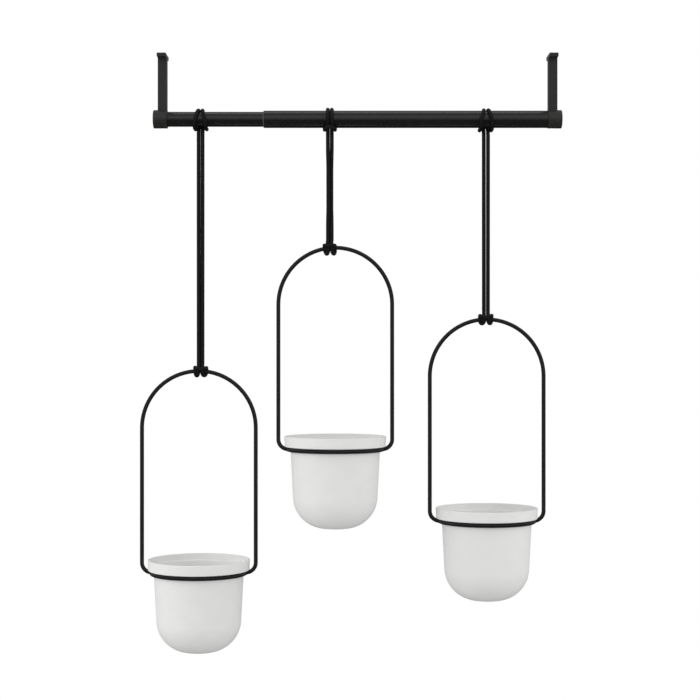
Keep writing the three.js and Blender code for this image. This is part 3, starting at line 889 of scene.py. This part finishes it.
# Brackets. Each is one casting in satin dark grey powder coat: a narrow foot that lies against the ceiling
# with two countersunk holes, and a square-edged stem whose saddle and tenon sit on the end cap.
STEM_DEPTH = 12.4 * MM
STEM_CORNER = 1.2 * MM
BRACKET_GAIN = 0.3 * MM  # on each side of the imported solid
STEM_FLARE = 1.6 * MM  # how far the stem's foot spreads where it meets the flat foot
SADDLE_GAP = 0.12 * MM
FOOT_THICKNESS = 4.8 * MM
FOOT_CORNER = 1.6 * MM
FOOT_EDGE = 0.7 * MM
FIXING_HOLE = 4.5 * MM
FIXING_SINK = 8.4 * MM
FIXING_SPACING = 24 * MM
THREAD_DEPTH = 9 * MM
THREAD_SIDES = 32
EDGE_TURN = 18  # degrees between the outlines of the foot's rounded edge
FLARE_TURN = 15  # degrees between the outlines of the stem's flare
JOINING_PLAY = 0.02 * MM  # keeps the stem's sides off the foot's while the two are joined
# width of the painted highlight along the brackets' edges
EDGE_HIGHLIGHT_WIDTH = 0.5 * MM


def rounded_rectangle(width, depth, corner, z, steps=6):
    return [Vector((point.x, point.y, z)) for point in rounded([
        (-width / 2, -depth / 2, corner), (width / 2, -depth / 2, corner),
        (width / 2, depth / 2, corner), (-width / 2, depth / 2, corner)], steps)]


def stacked(name, outlines, place):
    """A closed solid through outlines that lie one above the other"""
    count = len(outlines[0])
    points = [Vector(place) + point for outline in outlines for point in outline]
    faces = [tuple(range(count)), tuple(range(len(points) - count, len(points)))]
    for level in range(len(outlines) - 1):
        start = level * count
        faces += [(start + k, start + (k + 1) % count, start + count + (k + 1) % count, start + count + k)
                  for k in range(count)]
    return clean(new_piece(name, points, faces))


def painted_edge_highlight_effect():
    """Lighter colour painted on edges that stand proud, as a painted highlight: 1 on the edge and 0 on the flats"""
    tree, given, made = effect(
        "painted edge highlight", [("Width", "Float", EDGE_HIGHLIGHT_WIDTH), ("Strength", "Float", 1)], ["Mask"])
    flat = node_in(tree, "NewGeometry").outputs["Normal"]
    soft = node_in(tree, "Bevel", {"Radius": given["Width"]}, samples=6).outputs["Normal"]
    same = node_in(tree, "VectorMath", {0: flat, 1: soft}, operation="DOT_PRODUCT").outputs["Value"]
    mask = maths(tree, "MULTIPLY", maths(tree, "SUBTRACT", 1, same), given["Strength"])
    tree.links.new(node_in(tree, "Clamp", {"Value": mask}).outputs[0], made["Mask"])


painted_edge_highlight_effect()
bracket_finish, tree, shader = new_finish(
    "dark grey powder coat", (0.032, 0.032, 0.033), {"Specular IOR Level": 0.45})
# The edges are painted lighter than the flats. This is a painted highlight where the edges would catch the light,
# mixed with the coating's random patches.
edge_highlight_mask = use_effect(tree, "painted edge highlight", {"Width": EDGE_HIGHLIGHT_WIDTH, "Strength": 6})["Mask"]
mottle_and_edge_highlight = maths(tree, "MAXIMUM", mottled(tree, 160, 0, 0.55), edge_highlight_mask)
tree.links.new(blend_colours(tree, mottle_and_edge_highlight, (0.0165, 0.0166, 0.0170), (0.0215, 0.0216, 0.0220)),
               shader.inputs["Base Color"])
tree.links.new(mottled(tree, 700, 0.44, 0.54), shader.inputs["Roughness"])
raise_surface(tree, shader, grained(tree, 1500), 0.035 * MM)

for end in ENDS:
    side = end["side"]
    low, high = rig.box(f"{side}_bracket")
    width, length, top = high.x - low.x + 2 * BRACKET_GAIN, high.y - low.y, high.z
    place = (end["x"], 0, 0)
    levels = []
    for turn in range(0, 91, EDGE_TURN):
        inset = FOOT_EDGE * (1 - math.sin(math.radians(turn)))
        drop = FOOT_EDGE * (1 - math.cos(math.radians(turn)))
        levels.append((inset, top - drop))
    levels += [(inset, top - FOOT_THICKNESS - (z - top)) for inset, z in reversed(levels)]
    foot = stacked("foot", [
        rounded_rectangle(width - 2 * inset, length - 2 * inset, FOOT_CORNER - inset, z)
        for inset, z in levels], place)
    stem_levels = [(0, rod_z)]
    for turn in range(0, 91, FLARE_TURN):
        spread = STEM_FLARE * (1 - math.cos(math.radians(turn)))
        rise = STEM_FLARE * (1 - math.sin(math.radians(turn)))
        stem_levels.append((spread, top - FOOT_THICKNESS - rise))
    stem_levels.append((STEM_FLARE, top - FOOT_THICKNESS / 2))
    stem = stacked(f"{side}_ceiling_bracket", [
        rounded_rectangle(width - JOINING_PLAY, STEM_DEPTH + 2 * spread, STEM_CORNER, z)
        for spread, z in stem_levels], place)
    saddle = turned("saddle", [Vector(spot) for spot in (
        (0, -2 * width), (cap_radius + SADDLE_GAP, -2 * width), (cap_radius + SADDLE_GAP, 2 * width),
        (0, 2 * width))], (end["x"], 0, rod_z), "X")
    carve(stem, saddle)
    carve(stem, foot, "UNION")
    tenon_low = rod_z + cap_radius - TENON_DEPTH
    half = TENON_SIDE / 2
    carve(stem, block("tenon", (end["x"] - half, -half, tenon_low),
                      (end["x"] + half, half, rod_z + cap_radius + STEM_DEPTH / 2)), "UNION")
    thread = turned("thread", [Vector(spot) for spot in (
        (0, tenon_low - CUTTER_REACH), (SCREW / 2 + SEAT_GAP, tenon_low - CUTTER_REACH),
        (SCREW / 2 + SEAT_GAP, tenon_low + THREAD_DEPTH), (0, tenon_low + THREAD_DEPTH))],
        (end["x"], 0, 0), "Z", sides=THREAD_SIDES)
    carve(stem, thread)
    under = top - FOOT_THICKNESS
    for across in (-1, 1):
        hole = turned("fixing hole", [Vector(spot) for spot in (
            (0, under - CUTTER_REACH), (FIXING_SINK / 2 + CUTTER_REACH, under - CUTTER_REACH),
            (FIXING_HOLE / 2, under + (FIXING_SINK - FIXING_HOLE) / 2),
            (FIXING_HOLE / 2, top + CUTTER_REACH), (0, top + CUTTER_REACH))],
            (end["x"], across * FIXING_SPACING / 2, 0), "Z", sides=HOLE_SIDES)
        carve(stem, hole)
    stand_for(stem, bracket_finish, end["body"], "bracket_metal", f"{side}_bracket")


# Cap screws. A blackened cheese-head screw with a hexagon socket comes up through each cap into the
# bracket's tenon and holds the two together.
SOCKET = 2.5 * MM
SOCKET_DEPTH = 1.2 * MM
HEAD_LOWER_EDGE = 0.3 * MM
HEAD_UPPER_EDGE = 0.15 * MM

screw_finish, tree, shader = new_finish(
    "blackened steel", (0.03, 0.03, 0.03), {"Metallic": 0.85, "Specular IOR Level": 0.5})
mottle_finish(tree, shader, ((0.020, 0.020, 0.021), (0.042, 0.041, 0.040)), 1500, (0.34, 0.5), 2500)
raise_surface(tree, shader, grained(tree, 4000), 0.01 * MM)

for end in ENDS:
    side = end["side"]
    low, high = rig.box(f"{side}_cap_screw")
    screw = turned(f"{side}_cap_fixing_screw", rounded([
        (0, low.z, 0),
        (SCREW_HEAD / 2, low.z, HEAD_LOWER_EDGE),
        (SCREW_HEAD / 2, low.z + SCREW_HEAD_HEIGHT, HEAD_UPPER_EDGE),
        (SCREW / 2, low.z + SCREW_HEAD_HEIGHT, 0),
        (SCREW / 2, high.z - SCREW / 4, 0),
        (SCREW / 4, high.z, 0),
        (0, high.z, 0),
    ], steps=3), (end["x"], 0, 0), "Z", sides=HOLE_SIDES)
    socket_radius = SOCKET / math.sqrt(3)
    socket = turned("socket", [Vector(spot) for spot in (
        (0, low.z - CUTTER_REACH), (socket_radius, low.z - CUTTER_REACH),
        (socket_radius, low.z + SOCKET_DEPTH), (0, low.z + SOCKET_DEPTH))],
        (end["x"], 0, 0), "Z", sides=6)
    carve(screw, socket)
    stand_for(screw, screw_finish, end["body"], "screw_metal", f"{side}_cap_screw")


# Wire hangers. Each is bent from 5 mm round steel wire, with a ring welded between the in-turned feet of
# the arch, and powder coated black over the welds.
LEG_BEND = 12.5 * MM
LEG_STEPS = 14
ARCH_STEPS = 96
RING_STEPS = 128
WIRE_SIDES = 28
WELD_REACH = 0.45 * MM
WELD_LENGTH = 4.6 * MM
WELD_SIDES = 32
WELD_STEPS = 16
WELD_FULLNESS = 0.7  # below 1, its ends are blunter than a ball's
WELD_FLATNESS = 0.98
WELD_LUMPS = 3
WELD_LUMP = 0.035  # of the bead's radius
WELD_LUMP_TURN = 1.3  # radians

wire_finish, tree, shader = new_finish(
    "black powder coat", (0.012, 0.012, 0.012), {"Specular IOR Level": 0.4})
mottle_finish(tree, shader, ((0.0066, 0.0066, 0.0068), (0.0098, 0.0098, 0.0100)), 220, (0.38, 0.5), 900)
raise_surface(tree, shader, grained(tree, 1700), 0.012 * MM)


def arc(middle_x, middle_z, radius, start, end, steps):
    for i in range(steps + 1):
        angle = math.radians(mix(start, end, i / steps))
        yield Vector((middle_x + radius * math.cos(angle), 0, middle_z + radius * math.sin(angle)))


def weld(name, place, outward, wire_radius):
    """The smooth bead of weld that joins one foot of the arch to the ring"""
    points, faces = [], []
    for i in range(WELD_STEPS + 1):
        polar = math.pi * i / WELD_STEPS
        for k in range(WELD_SIDES):
            angle = 2 * math.pi * k / WELD_SIDES
            swell = 1 + WELD_LUMP * math.sin(WELD_LUMPS * angle + WELD_LUMP_TURN) * math.sin(2 * polar)
            across = (wire_radius + WELD_REACH) * math.sin(polar) ** WELD_FULLNESS * swell
            points.append(place + Vector((
                across * math.cos(angle) + outward * WELD_REACH,
                -WELD_LENGTH * math.cos(polar),
                WELD_FLATNESS * across * math.sin(angle))))
    for i in range(WELD_STEPS):
        start, end = i * WELD_SIDES, (i + 1) * WELD_SIDES
        faces += [(start + k, start + (k + 1) % WELD_SIDES, end + (k + 1) % WELD_SIDES, end + k)
                  for k in range(WELD_SIDES)]
    return clean(new_piece(name, points, faces))


for name in HANGERS:
    low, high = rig.box(f"{name}_frame_ring")
    middle = (low + high) / 2
    wire_radius = (high.z - low.z) / 2 + POWDER_COAT
    ring_radius = (high.y - low.y) / 2 - wire_radius
    arch_low, arch_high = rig.box(f"{name}_frame_arch")
    arch_radius = (arch_high.x - arch_low.x) / 2 - wire_radius
    crown_z = arch_high.z - wire_radius - arch_radius - middle.z
    centres = [
        *arc(ring_radius, LEG_BEND, LEG_BEND, -90, 0, LEG_STEPS),
        *arc(0, crown_z, arch_radius, 0, 180, ARCH_STEPS),
        *arc(-ring_radius, LEG_BEND, LEG_BEND, 180, 270, LEG_STEPS),
    ]
    arch = swept(f"{name}_wire_arch", [middle + centre for centre in centres], WIRE_SIDES,
                 lambda i, k: wire_radius)
    stand_for(clean(arch), wire_finish, f"{name}_frame", "wire", f"{name}_frame_arch")
    around = []
    for i in range(RING_STEPS):
        angle = 2 * math.pi * i / RING_STEPS
        around.append(middle + ring_radius * Vector((math.cos(angle), math.sin(angle), 0)))
    ring = swept(f"{name}_wire_ring", around, WIRE_SIDES, lambda i, k: wire_radius, closed=True)
    stand_for(clean(ring), wire_finish, f"{name}_frame", "wire", f"{name}_frame_ring")
    for foot, outward in (("left", -1), ("right", 1)):
        place = middle + Vector((outward * ring_radius, 0, 0))
        bead = weld(f"{name}_wire_{foot}_weld", place, outward, wire_radius)
        bead.data.materials.append(wire_finish)
        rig.ride(bead, f"{name}_frame")
        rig.slot(bead, "wire")


# Pots. Each is moulded in matt white plastic, with a bowl-shaped bottom on a small flat, and a deeper rim
# that steps out and hangs over the wire ring. Inside, a ledge runs around below the rim, and the well under
# it is smoother, with a whiter colour painted on its inward and upward faces as painted light.
POT_WALL = 2.7 * MM
POT_FLAT = 26 * MM
POT_DRAFT = 3  # degrees
RIM_OVERHANG = 7.9 * MM
RIM_WALL = 2.5 * MM
RIM_SKIRT = 2.5 * MM
RIM_DRAFT = 0.7 * MM
RIM_EDGE = 0.8 * MM
RIM_INNER_EDGE = 0.5 * MM
LEDGE_DEPTH = 8 * MM
LEDGE_CORNER = 0.6 * MM
LEDGE_EDGE = 0.8 * MM
WEB_CORNER = 1 * MM  # where the body meets the web under the rim
POT_SIDES = 160
BOWL_STEPS = 28
# Faces below the ledge that look inwards or up are painted whiter: painted light in the well.
PAINTED_LIGHT_FACING = 0.5  # how much a face has to look inwards or up to belong to the well
PAINTED_LIGHT_REACH = 0.5 * MM  # how far above the ledge the well's finish starts

pot_finishes = []
for label, shades, dullness, texture in (
        ("matt white plastic", ((0.798, 0.796, 0.788), (0.818, 0.816, 0.809)), (0.52, 0.62), 0.015 * MM),
        # the inside's colour is whiter than the outside's: painted light
        ("smooth inside with painted light", ((0.872, 0.871, 0.865), (0.884, 0.883, 0.878)), (0.38, 0.46), 0.006 * MM)):
    pot_finish, tree, shader = new_finish(label, shades[0], {"Specular IOR Level": 0.3})
    mottle_finish(tree, shader, shades, 60, dullness, 500)
    raise_surface(tree, shader, grained(tree, 1600), texture)
    pot_finishes.append(pot_finish)


def bowl_points(radius, middle_z, start, end):
    """A quarter circle of the bowl-shaped bottom, outside the flat it stands on"""
    for i in range(BOWL_STEPS + 1):
        angle = math.radians(mix(start, end, i / BOWL_STEPS))
        yield POT_FLAT / 2 + radius * math.cos(angle), middle_z + radius * math.sin(angle), 0


for name in HANGERS:
    low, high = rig.box(f"{name}_pot")
    ring_low, ring_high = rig.box(f"{name}_frame_ring")
    ring_z = (ring_low.z + ring_high.z) / 2
    rim_radius = (high.y - low.y) / 2
    body_radius = rim_radius - RIM_OVERHANG
    slope = math.tan(math.radians(POT_DRAFT))
    bowl = (body_radius + slope * (low.z - ring_z) - POT_FLAT / 2) / (1 - slope)
    bowl_top = low.z + bowl
    ledge = high.z - LEDGE_DEPTH
    web = ledge - POT_WALL
    skirt = web - RIM_SKIRT
    rim_foot = rim_radius - RIM_DRAFT
    axis_x = (low.x + high.x) / 2
    pot = turned(f"{name}_planter_pot", rounded([
        (0, low.z, 0),
        *bowl_points(bowl, bowl_top, -90, 0),
        (body_radius + slope * (web - ring_z), web, WEB_CORNER),
        (rim_foot - RIM_WALL, web, RIM_INNER_EDGE),
        (rim_foot - RIM_WALL, skirt, RIM_INNER_EDGE),
        (rim_foot, skirt, RIM_EDGE),
        (rim_radius, high.z, RIM_EDGE),
        (rim_radius - RIM_WALL, high.z, RIM_INNER_EDGE),
        (rim_radius - RIM_WALL - RIM_DRAFT / 2, ledge, LEDGE_CORNER),
        (body_radius + slope * (ledge - ring_z) - POT_WALL, ledge, LEDGE_EDGE),
        *bowl_points(bowl - POT_WALL, bowl_top, 0, -90),
        (0, low.z + POT_WALL, 0),
    ]), (axis_x, 0, 0), "Z", sides=POT_SIDES)
    stand_for(pot, pot_finishes[0], f"{name}_pot_body", "pot", f"{name}_pot")
    pot.data.materials.append(pot_finishes[1])
    for face in pot.data.polygons:
        outward = Vector((face.center.x - axis_x, face.center.y, 0)).normalized()
        takes_painted_light = face.normal.z - face.normal.dot(outward) > PAINTED_LIGHT_FACING
        # The faces picked here take the whiter inside finish, which is painted light.
        face.material_index = int(takes_painted_light and face.center.z < ledge + PAINTED_LIGHT_REACH)


# Studio. A plain white floor and background, even soft light from all sides, a little more from the left
# and the front, and two long strips above the rod that draw its two bright lines. A strip's angle is how
# far it stands above the rod, from 0 in front of it to 90 over it.
FLOOR_DROP = 0.45
FLOOR_SIDE = 14
WHITE = (1, 1, 1)
ROOM_LIGHT = 0.76
FLOOR_LIGHT = 0.55
ROOM_MIRRORED = 0.41
FLOOR_MIRRORED = 0
SOFTBOX = (1.0, 1.2)  # metres
SOFTBOXES = (
    # name, place, watts
    ("left softbox", (-1.65, -0.45, -0.3), 6.7),
    ("right softbox", (1.15, -0.45, -0.3), 4.6),
    ("front softbox", (-0.26, -3.2, -0.4), 12.0),
)
STRIP_LENGTH = 3.0
STRIP_DISTANCE = 2.0
STRIPS = (
    # name, angle, width, watts
    ("front strip", 28, 0.8, 2.6),
    ("top strip", 94, 0.45, 5.6),
)


def room_finish(tree, output_kind, strength, mirrored):
    """White to the camera, and its own brightness to what the room lights and to what mirrors it"""
    path = node_in(tree, "LightPath").outputs
    seen = node_in(tree, "Mix", {"Factor": path["Is Glossy Ray"], "A": strength, "B": mirrored})
    level = node_in(tree, "Mix", {"Factor": path["Is Camera Ray"], "A": seen.outputs["Result"], "B": 1.0})
    shader = node_in(tree, output_kind, {"Color": (*WHITE, 1), "Strength": level.outputs["Result"]})
    return shader.outputs[0]


scene.view_settings.view_transform = "Standard"
world = bpy.data.worlds.new("studio")
world.use_nodes = True
world.node_tree.nodes.clear()
world.node_tree.links.new(room_finish(world.node_tree, "Background", ROOM_LIGHT, ROOM_MIRRORED),
                          world.node_tree.nodes.new("ShaderNodeOutputWorld").inputs["Surface"])
scene.world = world

half = FLOOR_SIDE / 2
floor_z = cad_box[0][2] - FLOOR_DROP
floor = new_piece("studio_floor", [(-half, -half, floor_z), (half, -half, floor_z), (half, half, floor_z),
                                   (-half, half, floor_z)], [(0, 1, 2, 3)])
floor_finish = bpy.data.materials.new("pale floor")
floor_finish.use_nodes = True
floor_tree = floor_finish.node_tree
floor_tree.nodes.clear()
floor_tree.links.new(room_finish(floor_tree, "Emission", FLOOR_LIGHT, FLOOR_MIRRORED),
                     floor_tree.nodes.new("ShaderNodeOutputMaterial").inputs["Surface"])
floor.data.materials.append(floor_finish)
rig.stage(floor)


def add_lamp(name, place, aim, size, watts):
    """A lamp that the camera doesn't see"""
    lamp_data = bpy.data.lights.new(name, "AREA")
    lamp_data.shape = "RECTANGLE"
    lamp_data.size, lamp_data.size_y = size
    lamp_data.energy = watts
    lamp = bpy.data.objects.new(name, lamp_data)
    lamp.location = place
    lamp.rotation_euler = (aim - Vector(place)).to_track_quat("-Z", "Y").to_euler()
    lamp.visible_camera = False
    scene.collection.objects.link(lamp)
    return lamp


for name, place, watts in SOFTBOXES:
    add_lamp(name, place, PICTURE_MIDDLE, SOFTBOX, watts).visible_glossy = False

rod_middle = Vector((PICTURE_MIDDLE.x, 0, rod_z))
for name, angle, width, watts in STRIPS:
    place = rod_middle + on_bar(0, STRIP_DISTANCE, angle)
    add_lamp(name, place, rod_middle, (STRIP_LENGTH, width), watts).visible_diffuse = False


with open("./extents.json", "w") as sizes:
    json.dump({"cad": [list(corner) for corner in cad_box],
               "visual": [list(corner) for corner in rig.bounds()]}, sizes)
